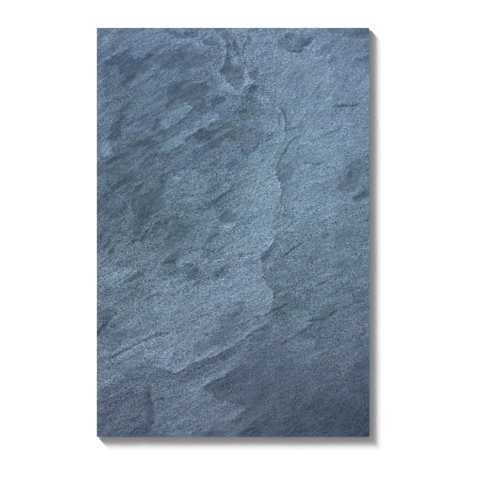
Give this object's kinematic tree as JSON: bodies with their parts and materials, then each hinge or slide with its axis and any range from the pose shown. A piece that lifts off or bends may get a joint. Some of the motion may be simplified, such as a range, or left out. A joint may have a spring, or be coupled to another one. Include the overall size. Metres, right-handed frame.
{
  "type": "stone veneer sheet",
  "caption": "Flat rectangular sheet of thin blue-grey slate with a naturally cleft, ledged face, bonded to a glass-fibre and resin backing.",
  "frame": {"origin": "middle of the backing's flat underside", "axes": "+Y along the sheet's length, +X across its width, +Z out of the cleft stone face; the sheet lies flat with its stone face up"},
  "size_m": [0.4, 0.6, 0.0027],
  "materials": {
    "slate": "matte",
    "fibre_resin": "satin"
  },
  "bodies": {
    "root": {"slate_layer": "slate", "glass_fibre_backing": "fibre_resin"}
  },
  "joints": []
}
